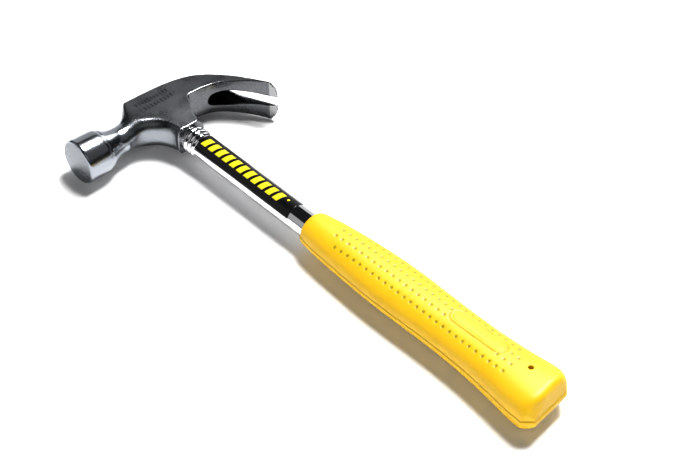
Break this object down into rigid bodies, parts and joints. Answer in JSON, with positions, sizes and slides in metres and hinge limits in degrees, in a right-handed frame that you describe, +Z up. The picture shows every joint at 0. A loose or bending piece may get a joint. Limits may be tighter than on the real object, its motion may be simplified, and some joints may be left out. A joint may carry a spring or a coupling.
{
  "type": "claw hammer",
  "caption": "Claw hammer lying on its side: forged head with round striking face and split curved claws, chromed tubular shaft with a printed band, and a moulded soft grip.",
  "frame": {"origin": "on the surface it lies on, under the middle of its overall box", "axes": "+X from the striking face to the claws, +Y from the butt of the grip to the crown of the head, +Z up out of the upper cheek"},
  "size_m": [0.1276, 0.3449, 0.0296],
  "materials": {
    "forged_steel": "satin, bead blasted cheeks with a polished bell",
    "chromed_tube": "bright chrome plate",
    "plug_steel": "bare steel",
    "printed_film": "gloss printed film",
    "soft_grip": "satin soft PVC",
    "plug_plastic": "moulded"
  },
  "bodies": {
    "root": {"hammer_head": "forged_steel", "shaft_tube": "chromed_tube", "expander_plug": "plug_steel", "shaft_label": "printed_film", "handle_grip": "soft_grip", "tube_end_plug": "plug_plastic"}
  },
  "joints": []
}
